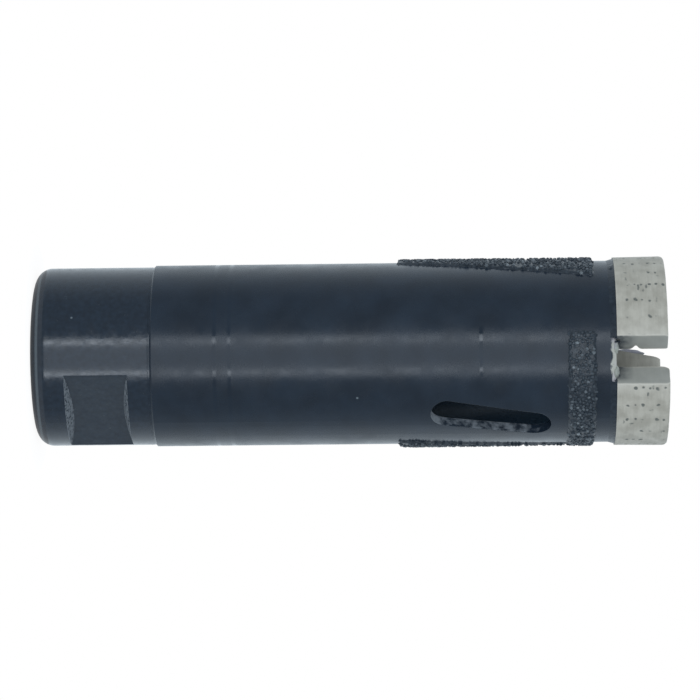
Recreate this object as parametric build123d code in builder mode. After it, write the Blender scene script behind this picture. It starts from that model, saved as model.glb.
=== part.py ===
from build123d import *

import os
from math import asin, cos, degrees, radians, sin, tan

# Diamond core bit for an angle grinder, standing on the rear face of its adapter.
# Origin: centre of the adapter's rear face. +Z runs along the bit's axis to the cutting end.
# Bearings are degrees about +Z, counted from +X. One of the two slots lies on +X.
# All sizes are in millimetres. Slots, segments, side guards and wrench flats come in pairs.

# Cutting diameter, and the barrel behind the segments
cutting_diameter = 35.0
side_clearance = 0.7  # from the barrel out to the cutting radius
barrel_wall = 2.0
barrel_length = 84.9  # from the adapter's shoulder to the rim
barrel_rear_chamfer = 0.4

# Adapter
adapter_length = 21.9  # the stretch in view behind the barrel
adapter_step = 0.3  # from the barrel's surface in to the adapter's
adapter_rear_radius = 3.0
adapter_front_chamfer = 0.25
spigot_length = 10.0  # pushed into the barrel
spigot_clearance = 0.02
spigot_chamfer = 0.8
thread_diameter = 14.0  # M14, bored at the thread's major diameter
thread_mouth_chamfer = 1.0
thread_relief_diameter = 16.0
thread_relief_depth = 5.0

# Wrench flats, milled across the adapter between cone-shaped ends
across_flats = 27.0
flats_setback = 6.3  # from the rear face
flats_width = 11.55  # along the axis, at the adapter's surface
flats_end_slope = 20.0  # of the cone-shaped ends, off square
flats_bearing = 0.4

# Slots through the barrel wall
slot_width = 6.0
slot_length = 22.3  # over its round ends
slot_tilt = 10.2  # off the axis
slot_setback = 22.8  # from the slot's centre to the rim

# Segments
segment_1_height = 9.65
segment_2_height = 9.3  # worn more than the other
segment_inside_clearance = 1.4  # from the bore in to the segments
segment_flare = 0.12  # from the foot out to the tip
segment_outer_wear = 0.55  # worn off the outer tip edge, across the segment
segment_1_inner_wear = 0.9  # worn off the inner tip edge
segment_2_inner_wear = 0.3
segment_wear_slope = 30.0  # of the worn edges, off the axis

# Gaps between the segments: a V that opens outwards, seen along the axis
gap_bearing = -41.3
gap_inner_width = 3.4
gap_half_angle = 38.0
gap_lean = 11.0  # of the one gap wall that was dressed at a slant
gap_lean_height = 4.2  # above the foot, where the slanted wall is in line with the others
gap_cut_inset = 0.4

# Brazed joint under each segment, and the bevel ground on the rim in each gap
braze_film = 0.1
braze_outer_leg = 1.1
braze_outer_reach = 0.32
braze_inner_leg = 1.3
braze_inner_reach = 1.1
rim_bevel = 0.9

# Side guards: a slanted strip of diamond grit that ends in a band round the barrel
guard_proud = 0.05  # from the cutting radius out to the tips of the grains
strip_width = 8.3
strip_length = 36.0  # along the axis, with the band
strip_tilt = 10.4  # off the axis
strip_bearing = 52.25  # of the middle of the strip
band_width = 4.9
band_setback = 3.7  # from the band to the rim
band_reach = 121.5  # degrees, from the strip's centre line to the band's end
guard_corner_radius = 0.9

# Sizes that follow from the ones above
cutting_radius = cutting_diameter / 2
barrel_radius = cutting_radius - side_clearance
bore_radius = barrel_radius - barrel_wall
adapter_radius = barrel_radius - adapter_step
spigot_radius = bore_radius - spigot_clearance
segment_inner_radius = bore_radius - segment_inside_clearance
guard_radius = cutting_radius + guard_proud
rim_height = adapter_length + barrel_length
foot_height = rim_height + braze_film
segment_1_tip = foot_height + segment_1_height
segment_2_tip = foot_height + segment_2_height
slot_height = rim_height - slot_setback
band_front = rim_height - band_setback
band_rear = band_front - band_width
band_middle = band_front - band_width / 2
strip_rear = band_front - strip_length
strip_middle = band_front - strip_length / 2
strip_slope = tan(radians(strip_tilt))
wear_stretch = 1 / tan(radians(segment_wear_slope))
beyond = 2.0  # how far a cutting body runs past what it cuts


def radial_plane(bearing):
    """Sketch plane through the axis: x to the left of the bearing, y up, normal outwards."""
    angle = radians(bearing)
    return Plane(origin=(0, 0, 0), x_dir=(-sin(angle), cos(angle), 0), z_dir=(cos(angle), sin(angle), 0))


def section_plane(bearing):
    """Sketch plane that holds the axis and the bearing: x outwards, y up."""
    angle = radians(bearing)
    return Plane(origin=(0, 0, 0), x_dir=(cos(angle), sin(angle), 0), z_dir=(sin(angle), -cos(angle), 0))


def level_plane(bearing, height):
    """Sketch plane square to the axis: x along the bearing."""
    angle = radians(bearing)
    return Plane(origin=(0, 0, height), x_dir=(cos(angle), sin(angle), 0), z_dir=(0, 0, 1))


def gap_half_width(distance):
    """Half the V's width at a distance from the axis, along the gap's centre line."""
    return gap_inner_width / 2 + (distance - segment_inner_radius) * tan(radians(gap_half_angle))


def gap_edge_angle(radius):
    """Angle from the gap's centre line to its wall, on a circle about the axis."""
    apex = segment_inner_radius - gap_inner_width / 2 / tan(radians(gap_half_angle))
    return gap_half_angle - degrees(asin(apex * sin(radians(gap_half_angle)) / radius))


# Cutting body for the wrench flats: a ring with cone-shaped ends, less what lies between the flats
recess_inside = across_flats / 2 - beyond
recess_outside = adapter_radius + beyond
recess_taper = tan(radians(flats_end_slope))
recess_deep = (adapter_radius - recess_inside) * recess_taper
recess_high = beyond * recess_taper
with BuildPart() as wrench_recess:
    with BuildSketch(Plane.XZ):
        with BuildLine():
            Polyline(
                (recess_inside, flats_setback + recess_deep),
                (recess_outside, flats_setback - recess_high),
                (recess_outside, flats_setback + flats_width + recess_high),
                (recess_inside, flats_setback + flats_width - recess_deep),
                close=True,
            )
        make_face()
    revolve(axis=Axis.Z)
    with Locations((0, 0, flats_setback + flats_width / 2)):
        Box(across_flats, 3 * recess_outside, 2 * flats_width, mode=Mode.SUBTRACT)

# Adapter: turned steel hub with a spigot for the barrel, a through thread and two wrench flats
with BuildPart() as adapter:
    with BuildSketch():
        Circle(adapter_radius)
    extrude(amount=adapter_length)
    fillet(adapter.edges().group_by(Axis.Z)[0], adapter_rear_radius)
    chamfer(adapter.edges().group_by(Axis.Z)[-1], adapter_front_chamfer)
    with BuildSketch(Plane.XY.offset(adapter_length)):
        Circle(spigot_radius)
    extrude(amount=spigot_length)
    chamfer(adapter.edges().group_by(Axis.Z)[-1], spigot_chamfer)
    with Locations((0, 0, adapter_length + spigot_length)):
        CounterBoreHole(thread_diameter / 2, thread_relief_diameter / 2, thread_relief_depth)
    thread_mouth = adapter.edges().group_by(Axis.Z)[0].sort_by(SortBy.RADIUS)[0]
    chamfer(thread_mouth, thread_mouth_chamfer)
    add(wrench_recess.part, rotation=(0, 0, flats_bearing), mode=Mode.SUBTRACT)
adapter.part.label = "adapter"

# Barrel: steel tube with two tilted slots, and a bevel ground on its rim in each gap
with BuildPart() as barrel:
    with BuildSketch(Plane.XY.offset(adapter_length)):
        Circle(barrel_radius)
        Circle(bore_radius, mode=Mode.SUBTRACT)
    extrude(amount=barrel_length)
    rear_edge = barrel.edges().group_by(Axis.Z)[0].sort_by(SortBy.RADIUS)[-1]
    chamfer(rear_edge, barrel_rear_chamfer)
    for side in (0, 180):
        with BuildSketch(radial_plane(side)):
            with Locations((0, slot_height)):
                SlotOverall(slot_length, slot_width, rotation=90 - slot_tilt)
        extrude(amount=barrel_radius + beyond, mode=Mode.SUBTRACT)
    for side in (0, 180):
        bevel_half_angle = gap_edge_angle(barrel_radius)
        with BuildSketch(section_plane(gap_bearing + side - bevel_half_angle)):
            with BuildLine():
                Polyline(
                    (barrel_radius - rim_bevel, rim_height),
                    (barrel_radius + rim_bevel, rim_height),
                    (barrel_radius + rim_bevel, rim_height - 2 * rim_bevel),
                    close=True,
                )
            make_face()
        revolve(axis=Axis.Z, revolution_arc=2 * bevel_half_angle, mode=Mode.SUBTRACT)
barrel.part.label = "barrel"


def make_gap_cutter(bearing, lean):
    """V-shaped cutting body for one gap. Its right-hand wall leans by the given angle."""
    near = segment_inner_radius - gap_cut_inset
    far = cutting_radius + beyond
    with BuildPart() as cutter:
        for height in (foot_height - beyond, segment_1_tip + beyond):
            shift = (height - foot_height - gap_lean_height) * tan(radians(lean))
            with BuildSketch(level_plane(bearing, height)):
                with BuildLine():
                    Polyline(
                        (near, gap_half_width(near)),
                        (near, -gap_half_width(near) - shift),
                        (far, -gap_half_width(far) - shift),
                        (far, gap_half_width(far)),
                        close=True,
                    )
                make_face()
        loft()
    return cutter.part


front_gap = make_gap_cutter(gap_bearing, 0)
rear_gap = make_gap_cutter(gap_bearing + 180, 0)
rear_gap_slanted = make_gap_cutter(gap_bearing + 180, gap_lean)

# Segments: sintered diamond half-rings, wider than the barrel wall on both sides
segments = []
for name, start, gaps, tip_height, inner_wear in (
    ("segment_1", gap_bearing, (front_gap, rear_gap_slanted), segment_1_tip, segment_1_inner_wear),
    ("segment_2", gap_bearing + 180, (front_gap, rear_gap), segment_2_tip, segment_2_inner_wear),
):
    with BuildPart() as segment:
        with BuildSketch(section_plane(start)):
            with BuildLine():
                Polyline(
                    (segment_inner_radius, foot_height),
                    (cutting_radius - segment_flare, foot_height),
                    (cutting_radius, tip_height - segment_outer_wear * wear_stretch),
                    (cutting_radius - segment_outer_wear, tip_height),
                    (segment_inner_radius + inner_wear, tip_height),
                    (segment_inner_radius, tip_height - inner_wear * wear_stretch),
                    close=True,
                )
            make_face()
        revolve(axis=Axis.Z, revolution_arc=180)
        add(gaps, mode=Mode.SUBTRACT)
    segment.part.label = name
    segments.append(segment)

# Brazed joints: a film on the rim, with a slanted fillet under the segment on either side of the wall
braze_joints = []
for name, start, gaps in (
    ("braze_joint_1", gap_bearing, (front_gap, rear_gap_slanted)),
    ("braze_joint_2", gap_bearing + 180, (front_gap, rear_gap)),
):
    with BuildPart() as braze_joint:
        with BuildSketch(section_plane(start)):
            with BuildLine():
                Polyline(
                    (barrel_radius, rim_height),
                    (barrel_radius, rim_height - braze_outer_leg),
                    (barrel_radius + braze_outer_reach, foot_height),
                    (bore_radius - braze_inner_reach, foot_height),
                    (bore_radius, rim_height - braze_inner_leg),
                    (bore_radius, rim_height),
                    close=True,
                )
            make_face()
        revolve(axis=Axis.Z, revolution_arc=180)
        add(gaps, mode=Mode.SUBTRACT)
    braze_joint.part.label = name
    braze_joints.append(braze_joint)

# Side guards: an L of brazed diamond grit on the barrel, a slanted strip that turns into a band
with BuildPart() as side_guard_1:
    with BuildSketch(radial_plane(strip_bearing)):
        with BuildLine():
            corners = []
            for across, height in ((-1, strip_rear), (1, strip_rear), (1, band_front), (-1, band_front)):
                arc = across * strip_width / 2 + (height - strip_middle) * strip_slope
                corners.append((barrel_radius * sin(arc / barrel_radius), height))
            Polyline(*corners, close=True)
        make_face()
    extrude(amount=guard_radius + beyond)
    band_start = strip_bearing + degrees((band_middle - strip_middle) * strip_slope / barrel_radius) - band_reach
    with BuildSketch(section_plane(band_start)):
        with Locations((barrel_radius - beyond, band_rear)):
            Rectangle(guard_radius - barrel_radius + 2 * beyond, band_width, align=Align.MIN)
    revolve(axis=Axis.Z, revolution_arc=band_reach)
    with BuildSketch(Plane.XY.offset(strip_rear)):
        Circle(guard_radius)
        Circle(barrel_radius, mode=Mode.SUBTRACT)
    extrude(amount=strip_length, mode=Mode.INTERSECT)
    short_edges = side_guard_1.edges().filter_by(GeomType.LINE).filter_by(lambda edge: edge.length < beyond)
    fillet(short_edges, guard_corner_radius)
side_guard_1.part.label = "side_guard_1"

with BuildPart() as side_guard_2:
    add(side_guard_1.part, rotation=(0, 0, 180))
side_guard_2.part.label = "side_guard_2"

os.makedirs("parts", exist_ok=True)
for piece in (adapter, barrel, *segments, *braze_joints, side_guard_1, side_guard_2):
    export_step(piece.part, "parts/" + piece.part.label + ".step")
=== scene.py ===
import math

import bmesh
import bpy
import numpy as np
from mathutils import Matrix, Vector, noise


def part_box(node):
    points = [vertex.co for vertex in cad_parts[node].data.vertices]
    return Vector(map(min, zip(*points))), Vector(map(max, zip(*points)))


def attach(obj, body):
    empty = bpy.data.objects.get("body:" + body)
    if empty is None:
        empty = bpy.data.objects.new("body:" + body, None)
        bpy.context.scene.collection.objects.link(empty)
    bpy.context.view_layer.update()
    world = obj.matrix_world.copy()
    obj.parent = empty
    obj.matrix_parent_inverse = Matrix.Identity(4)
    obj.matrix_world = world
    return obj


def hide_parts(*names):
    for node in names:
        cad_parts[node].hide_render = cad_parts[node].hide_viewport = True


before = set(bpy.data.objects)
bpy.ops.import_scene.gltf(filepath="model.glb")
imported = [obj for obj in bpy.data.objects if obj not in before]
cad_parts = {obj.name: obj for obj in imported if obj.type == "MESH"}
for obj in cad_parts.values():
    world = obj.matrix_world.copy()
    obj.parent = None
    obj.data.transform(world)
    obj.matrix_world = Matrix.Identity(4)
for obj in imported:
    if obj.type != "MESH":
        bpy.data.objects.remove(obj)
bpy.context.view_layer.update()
print("frame loaded:", ", ".join(sorted(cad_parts)))

mm = 0.001  # the sizes below are in millimetres, the scene itself is in metres
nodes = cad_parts
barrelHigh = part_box("barrel")[1]
segmentLow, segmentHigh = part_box("segment_1")
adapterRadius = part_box("adapter")[1].y / mm
barrelRadius = barrelHigh.y / mm
cuttingRadius = segmentHigh.y / mm
rimHeight = barrelHigh.z / mm
footHeight = segmentLow.z / mm
tipHeights = (segmentHigh.z / mm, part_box("segment_2")[1].z / mm)

# Sizes that several pieces share. Bearings are in degrees about +Z, counted from +X, and both
# halves of the bit repeat at half a turn.
layout = {
    "gapBearing": -41.3,
    "gapInnerWidth": 3.4,
    "gapHalfAngle": 38.0,  # between a gap's centre line and its flared wall
    "gapLean": 11.0,
    "gapLeanHeight": 4.2,
    "slotHeight": 84.0,
    "slotReach": 12.2,
    "boreRadius": 14.8,
}


# Small helpers: colours, nodes, materials, meshes

def toLinear(hexCode):  # sRGB hex to the linear colour that a shader takes
    channels = [int(hexCode[i:i + 2], 16) / 255 for i in (1, 3, 5)]
    linear = [c / 12.92 if c <= 0.04045 else ((c + 0.055) / 1.055) ** 2.4 for c in channels]
    return (*linear, 1.0)


def addNode(tree, kind, inputs=None, give=None, **settings):  # gives its first live output, or a named one
    node = tree.nodes.new(kind)
    for name, value in settings.items():
        setattr(node, name, value)
    for socket, value in (inputs or {}).items():
        if isinstance(value, bpy.types.NodeSocket):
            tree.links.new(value, node.inputs[socket])
        else:
            node.inputs[socket].default_value = value
    if give == "all":
        return node.outputs
    return next((output for output in node.outputs if output.enabled and give in (None, output.name)), None)


def startMaterial(name):
    material = bpy.data.materials.new(name)
    material.use_nodes = True
    material.node_tree.nodes.clear()
    return material, material.node_tree


def startTree(name, base, sizes, result):  # a geometry tree with a base mesh, named sizes and one result
    tree = bpy.data.node_groups.new(name, "GeometryNodeTree")
    tree.interface.new_socket(name=base, in_out="INPUT", socket_type="NodeSocketGeometry")
    sockets = {}
    for size in sizes:
        sockets[size] = tree.interface.new_socket(name=size, in_out="INPUT", socket_type="NodeSocketFloat")
    tree.interface.new_socket(name=result, in_out="OUTPUT", socket_type="NodeSocketGeometry")
    return tree, sockets, addNode(tree, "NodeGroupInput", give="all")


def bakeTree(name, base, tree, sockets, sizes, material):  # the tree's result on a base, as a plain mesh
    maker = base.modifiers.new("maker", "NODES")
    maker.node_group = tree
    for size, value in sizes.items():
        maker[sockets[size].identifier] = value
    graph = bpy.context.evaluated_depsgraph_get()
    mesh = bpy.data.meshes.new_from_object(base.evaluated_get(graph), depsgraph=graph)
    base.modifiers.remove(maker)
    mesh.name = name
    return toObject(name, mesh, material)


def toObject(name, mesh, material, smoothUnder=None):
    made = bpy.data.objects.new(name, mesh)
    bpy.context.scene.collection.objects.link(made)
    mesh.materials.clear()
    mesh.materials.append(material)
    if smoothUnder is not None:
        mesh.shade_smooth()
        mesh.set_sharp_from_angle(angle=math.radians(smoothUnder))
    return made


def paintNode(name, material):  # a CAD node keeps its mesh and takes a finish
    for slot in nodes[name].material_slots:
        slot.material = material


def onRing(radius, bearing, height):  # a point in metres, from millimetres and radians
    return (radius * math.cos(bearing) * mm, radius * math.sin(bearing) * mm, height * mm)


def onRings(radius, bearing, height):  # the same for arrays, with the points in millimetres
    return np.stack(np.broadcast_arrays(radius * np.cos(bearing), radius * np.sin(bearing), height), axis=-1)


def cellCorners(sheet):  # the four corners of each cell of a sheet
    return np.stack((sheet[:-1, :-1], sheet[1:, :-1], sheet[1:, 1:], sheet[:-1, 1:]), axis=-1)


def skinOfPoints(name, points, quads, fields):  # a mesh of the points that its faces use
    used, quads = np.unique(quads, return_inverse=True)
    mesh = bpy.data.meshes.new(name)
    mesh.from_pydata((points.reshape(-1, 3)[used] * mm).tolist(), [], quads.reshape(-1, 4).tolist())
    turnOutward(mesh)
    for field, values in fields.items():
        layer = mesh.attributes.new(field, "FLOAT", "POINT")
        layer.data.foreach_set("value", values.reshape(-1)[used].astype(np.float32))
    return mesh


def skinOfBlock(name, points, fields=None):  # closed skin of a block of points
    index = np.arange(points.size // 3).reshape(points.shape[:-1])
    sheets = (index[0], index[-1], index[:, 0], index[:, -1], index[:, :, 0], index[:, :, -1])
    quads = np.concatenate([cellCorners(sheet).reshape(-1, 4) for sheet in sheets])
    return skinOfPoints(name, points, quads, fields or {})


def turnOutward(mesh):
    shape = bmesh.new()
    shape.from_mesh(mesh)
    bmesh.ops.recalc_face_normals(shape, faces=shape.faces)
    shape.to_mesh(mesh)
    shape.free()


def lumpsAt(points, size, seed):  # smooth noise from -1 to 1 at points in millimetres
    shift = Vector((seed * 7.3, seed * 3.1, seed * 5.7))
    values = [noise.noise(Vector(point) / size + shift) for point in points.reshape(-1, 3)]
    return np.array(values).reshape(points.shape[:-1])


def gapEdge(radius, slant=0.0):  # radians from a gap's centre line to its wall, on a circle of this radius
    spread = math.radians(layout["gapHalfAngle"])
    offset = layout["gapInnerWidth"] / 2 - segment["innerRadius"] * math.tan(spread) + slant
    return spread + np.arcsin(offset * math.cos(spread) / radius)


print("helpers ready")

# Black enamel: sprayed over turned and drawn steel, so it is a thin glossy coat that shows the
# machining under it as faint waves in its reflections, and chips to bare metal on edges

enamel = {
    "paint": ("#1F2935", "#273341"),
    "bareSteelAndSheen": "#8E949B",
    "dustAndHighlightTone": "#8A959B",
    "orangePeel": 0.9,
    "turningPitch": 0.35,  # real feed marks are nearer 0.15, too fine to show, so they are drawn coarser
    "speckSpacing": 6,
    "speckRadius": 0.28,
}


def placePatterns(tree):  # where a point lies and which way it faces
    place = addNode(tree, "ShaderNodeTexCoord", give="Object")
    normal = addNode(tree, "ShaderNodeNewGeometry", give="Normal")
    parts = addNode(tree, "ShaderNodeSeparateXYZ", {"Vector": place}, "all")
    level = addNode(tree, "ShaderNodeCombineXYZ", {"X": parts["X"], "Y": parts["Y"]})
    return {
        "place": place,
        "normal": normal,
        "height": parts["Z"],
        "outward": addNode(tree, "ShaderNodeVectorMath", {0: level}, operation="NORMALIZE"),
        "rise": addNode(tree, "ShaderNodeSeparateXYZ", {"Vector": normal}, "all")["Z"],
    }


def fromAxis(tree, place):  # distance from the bit's axis
    level = addNode(tree, "ShaderNodeVectorMath", {0: place, 1: (1, 1, 0)}, operation="MULTIPLY")
    return addNode(tree, "ShaderNodeVectorMath", {0: level}, operation="LENGTH")


def between(tree, value, low, high, soft):  # 1 inside a stretch in millimetres, 0 outside
    ends = []
    for outside, inside in ((low - soft, low), (high + soft, high)):
        ends.append(addNode(tree, "ShaderNodeMapRange", {0: value, 1: outside * mm, 2: inside * mm},
                            interpolation_type="SMOOTHSTEP"))
    return addNode(tree, "ShaderNodeMath", {0: ends[0], 1: ends[1]}, operation="MULTIPLY")


def nearBearing(tree, patterns, bearing, outside, inside, bothHalves):  # 1 near a bearing, angles in degrees
    turn = math.radians(bearing)
    line = (math.cos(turn), math.sin(turn), 0)
    aside = addNode(tree, "ShaderNodeVectorMath", {0: patterns["outward"], 1: line}, operation="DOT_PRODUCT")
    if bothHalves:
        aside = addNode(tree, "ShaderNodeMath", {0: aside}, operation="ABSOLUTE")
    return addNode(tree, "ShaderNodeMapRange", {
        0: aside, 1: math.cos(math.radians(outside)), 2: math.cos(math.radians(inside)),
    })


def dustNibs(tree, place):  # scattered nibs, in about two of five cells
    scale = 1 / (enamel["speckSpacing"] * mm)
    edge = enamel["speckRadius"] / enamel["speckSpacing"]
    cells = addNode(tree, "ShaderNodeTexVoronoi", {"Vector": place, "Scale": scale}, "all")
    near = addNode(tree, "ShaderNodeMapRange", {0: cells["Distance"], 1: edge, 2: edge * 0.4})
    parts = addNode(tree, "ShaderNodeSeparateColor", {"Color": cells["Color"]})
    chosen = addNode(tree, "ShaderNodeMath", {0: parts, 1: 0.6}, operation="GREATER_THAN")
    return addNode(tree, "ShaderNodeMath", {0: near, 1: chosen}, operation="MULTIPLY")


def enamelColour(tree, place, mottleSize):
    colour = twoTone(tree, place, mottleSize, 4.0, 0.5, (0.35, 0.75), enamel["paint"])[0]
    nibs = addNode(tree, "ShaderNodeMath", {0: dustNibs(tree, place), 1: 0.75}, operation="MULTIPLY")
    return coverWith(tree, colour, [(nibs, enamel["dustAndHighlightTone"])])


def enamelWaves(tree, place, peelDepth, turnDepth):  # surface height in millimetres
    peel = addNode(tree, "ShaderNodeTexNoise", {
        "Vector": place, "Scale": 1 / (enamel["orangePeel"] * mm), "Detail": 1.0,
    })
    drawn = addNode(tree, "ShaderNodeMapping", {"Vector": place, "Scale": (0.04, 0.04, 1.0)})
    turned = addNode(tree, "ShaderNodeTexNoise", {
        "Vector": drawn, "Scale": 1 / (enamel["turningPitch"] * mm), "Detail": 2.0, "Roughness": 0.6,
    })
    height = addNode(tree, "ShaderNodeMath", {0: peel, 1: peelDepth}, operation="MULTIPLY")
    return addNode(tree, "ShaderNodeMath", {0: turned, 1: turnDepth, 2: height}, operation="MULTIPLY_ADD")


def coverWith(tree, colour, finishes):  # finishes laid over a colour, each where its mask says
    for mask, finish in finishes:
        colour = addNode(tree, "ShaderNodeMix", {
            "Factor": mask, "A": colour, "B": toLinear(finish),
        }, data_type="RGBA")
    return colour


def twoTone(tree, place, size, detail, roughness, spread, tones):  # patches of two colours, and their pattern
    patches = addNode(tree, "ShaderNodeTexNoise", {
        "Vector": place, "Scale": 1 / (size * mm), "Detail": detail, "Roughness": roughness,
    })
    share = addNode(tree, "ShaderNodeMapRange", {0: patches, 1: spread[0], 2: spread[1]})
    dark, pale = tones
    colour = addNode(tree, "ShaderNodeMix", {
        "Factor": share, "A": toLinear(dark), "B": toLinear(pale),
    }, data_type="RGBA")
    return colour, patches


def closeCoat(tree, colour, roughness, height, specular, edgeRadius=0.0):  # edges shade as if rounded
    soft = addNode(tree, "ShaderNodeBevel", {"Radius": edgeRadius * mm}, samples=6)
    bump = addNode(tree, "ShaderNodeBump", {
        "Height": height, "Strength": 1.0, "Distance": 1 * mm, "Normal": soft,
    })
    shader = addNode(tree, "ShaderNodeBsdfPrincipled", {
        "Base Color": colour, "Roughness": roughness, "IOR": 1.5, "Specular IOR Level": specular,
        "Normal": bump,
    })
    addNode(tree, "ShaderNodeOutputMaterial", {"Surface": shader})


adapterCoat = {
    "mottleSize": 0.9,
    "scuffSize": 0.5,
    "scuffDepth": 0.0045,
    "smearSize": 1.4,
    "peelDepth": 0.008,
    "turnDepth": 0.003,
    "flatHeights": (5.2, 19.6),
    "flatRadii": (13.0, adapterRadius - 0.3),
    "flatDust": 0.05,
    # heights and share of a painted highlight along the rear edge, in the pale dust tone
    "rearHighlight": (1.2, 1.4),
    "rearHighlightShare": 0.4,
    "gloss": (0.08, 0.28),
    "edgeRadius": 0.2,
}


def makeAdapterEnamel():
    # Gloss coat over turned steel: sharp reflections broken up by the turning, and grey speckle
    # on the end walls of the wrench flats, partly rubbed half bare by a spanner and partly a painted
    # reflection
    material, tree = startMaterial("Gloss enamel over turned steel")
    patterns = placePatterns(tree)
    place, height = patterns["place"], patterns["height"]
    colour = enamelColour(tree, place, adapterCoat["mottleSize"])
    scuff = addNode(tree, "ShaderNodeTexNoise", {
        "Vector": place, "Scale": 1 / (adapterCoat["scuffSize"] * mm), "Detail": 3.0, "Roughness": 0.7,
    })
    # Pale speckle on the flats' end walls: partly rubbed bare steel, partly a painted reflection
    rubbedAndLit = addNode(tree, "ShaderNodeMapRange", {0: scuff, 1: 0.38, 2: 0.55})
    upward = addNode(tree, "ShaderNodeMath", {0: patterns["rise"]}, operation="ABSOLUTE")
    wall = addNode(tree, "ShaderNodeMapRange", {0: upward, 1: 0.6, 2: 0.8})
    wall = addNode(tree, "ShaderNodeMath", {0: wall, 1: rubbedAndLit}, operation="MULTIPLY")
    nearFlats = between(tree, height, *adapterCoat["flatHeights"], 0.2)
    rubbedAndLit = addNode(tree, "ShaderNodeMath", {0: wall, 1: nearFlats}, operation="MULTIPLY")
    smear = addNode(tree, "ShaderNodeTexNoise", {
        "Vector": place, "Scale": 1 / (adapterCoat["smearSize"] * mm), "Detail": 4.0, "Roughness": 0.7,
    })
    # Dust clings to the milled flats, and the pale line along the rear edge is a painted highlight
    onFlat = between(tree, fromAxis(tree, place), *adapterCoat["flatRadii"], 0.1)
    onFlat = addNode(tree, "ShaderNodeMath", {0: onFlat, 1: nearFlats}, operation="MULTIPLY")
    dustAndHighlight = addNode(tree, "ShaderNodeMapRange", {
        0: smear, 1: 0.35, 2: 0.7, 3: 0.0, 4: adapterCoat["flatDust"],
    })
    dustAndHighlight = addNode(tree, "ShaderNodeMath", {0: dustAndHighlight, 1: onFlat}, operation="MULTIPLY")
    # Painted highlight: a pale band along the rear edge
    rearHighlight = between(tree, height, *adapterCoat["rearHighlight"], 0.3)
    dustAndHighlight = addNode(tree, "ShaderNodeMath", {0: rearHighlight, 1: adapterCoat["rearHighlightShare"], 2: dustAndHighlight},
                    operation="MULTIPLY_ADD")
    colour = coverWith(tree, colour, [(rubbedAndLit, enamel["bareSteelAndSheen"]), (dustAndHighlight, enamel["dustAndHighlightTone"])])
    sharp, dull = adapterCoat["gloss"]
    gloss = addNode(tree, "ShaderNodeMapRange", {0: smear, 1: 0.3, 2: 0.7, 3: sharp, 4: dull})
    roughness = addNode(tree, "ShaderNodeMath", {0: rubbedAndLit, 1: 0.4, 2: gloss}, operation="MULTIPLY_ADD")
    waves = enamelWaves(tree, place, adapterCoat["peelDepth"], adapterCoat["turnDepth"])
    bumps = addNode(tree, "ShaderNodeMath", {0: scuff, 1: adapterCoat["scuffDepth"], 2: waves},
                    operation="MULTIPLY_ADD")
    closeCoat(tree, colour, roughness, bumps, 0.65, adapterCoat["edgeRadius"])
    return material


barrelCoat = {
    "bore": "#3D5163",
    "groundSteel": "#D6D0D6",
    "groundTinge": "#CBC9C0",
    "mottleSize": 6.0,
    "smearSize": 4.0,
    "slotScuff": 1.3,
    "tearSize": 1.6,
    "paintEdge": 0.2,  # below the rim
    "gapSpread": (17.0, 12.0),  # degrees to each side of a gap where the rim is ground
    "peelDepth": 0.005,
    "turnDepth": 0.0025,
    "gloss": (0.20, 0.34),
    "rings": (33.8, 36.5),
    "ringWidth": 0.12,
    "ringRise": 0.014,
    "tickHeight": 82.2,
    "tickWidth": 0.2,
    "tickBearing": -47.5,
    "tickSpread": (16, 12),
    "tickRise": 0.02,
    "edgeRadius": 0.15,
}


def wearSlots(tree, patterns, colour):  # the cut edges took little paint, the slots' rear end walls carry a painted glint, and the bore a thin overspray
    square = addNode(tree, "ShaderNodeVectorMath", {0: patterns["normal"], 1: patterns["outward"]},
                     operation="DOT_PRODUCT")
    inside = addNode(tree, "ShaderNodeMapRange", {0: square, 1: -0.5, 2: -0.8})
    square = addNode(tree, "ShaderNodeMath", {0: square}, operation="ABSOLUTE")
    wall = addNode(tree, "ShaderNodeMapRange", {0: square, 1: 0.75, 2: 0.6})
    low = layout["slotHeight"] - layout["slotReach"]
    inSlot = between(tree, patterns["height"], low, layout["slotHeight"] + layout["slotReach"], 0.2)
    slotWall = addNode(tree, "ShaderNodeMath", {0: wall, 1: inSlot}, operation="MULTIPLY")
    scuff = addNode(tree, "ShaderNodeTexNoise", {
        "Vector": patterns["place"], "Scale": 1 / (barrelCoat["slotScuff"] * mm),
        "Detail": 3.0, "Roughness": 0.6,
    })
    # Walls facing +Z, the rear end walls of the slots, are painted pale: a painted glint on top of the
    # scuffed wear
    wornAndGlint = addNode(tree, "ShaderNodeMapRange", {0: scuff, 1: 0.4, 2: 0.65, 3: -0.15, 4: 0.72})
    wornAndGlint = addNode(tree, "ShaderNodeMath", {0: patterns["rise"], 1: 1.1, 2: wornAndGlint}, operation="MULTIPLY_ADD")
    wornAndGlint = addNode(tree, "ShaderNodeMath", {0: wornAndGlint, 1: slotWall}, operation="MULTIPLY", use_clamp=True)
    return coverWith(tree, colour, [(wornAndGlint, enamel["bareSteelAndSheen"]), (inside, barrelCoat["bore"])])


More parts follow.
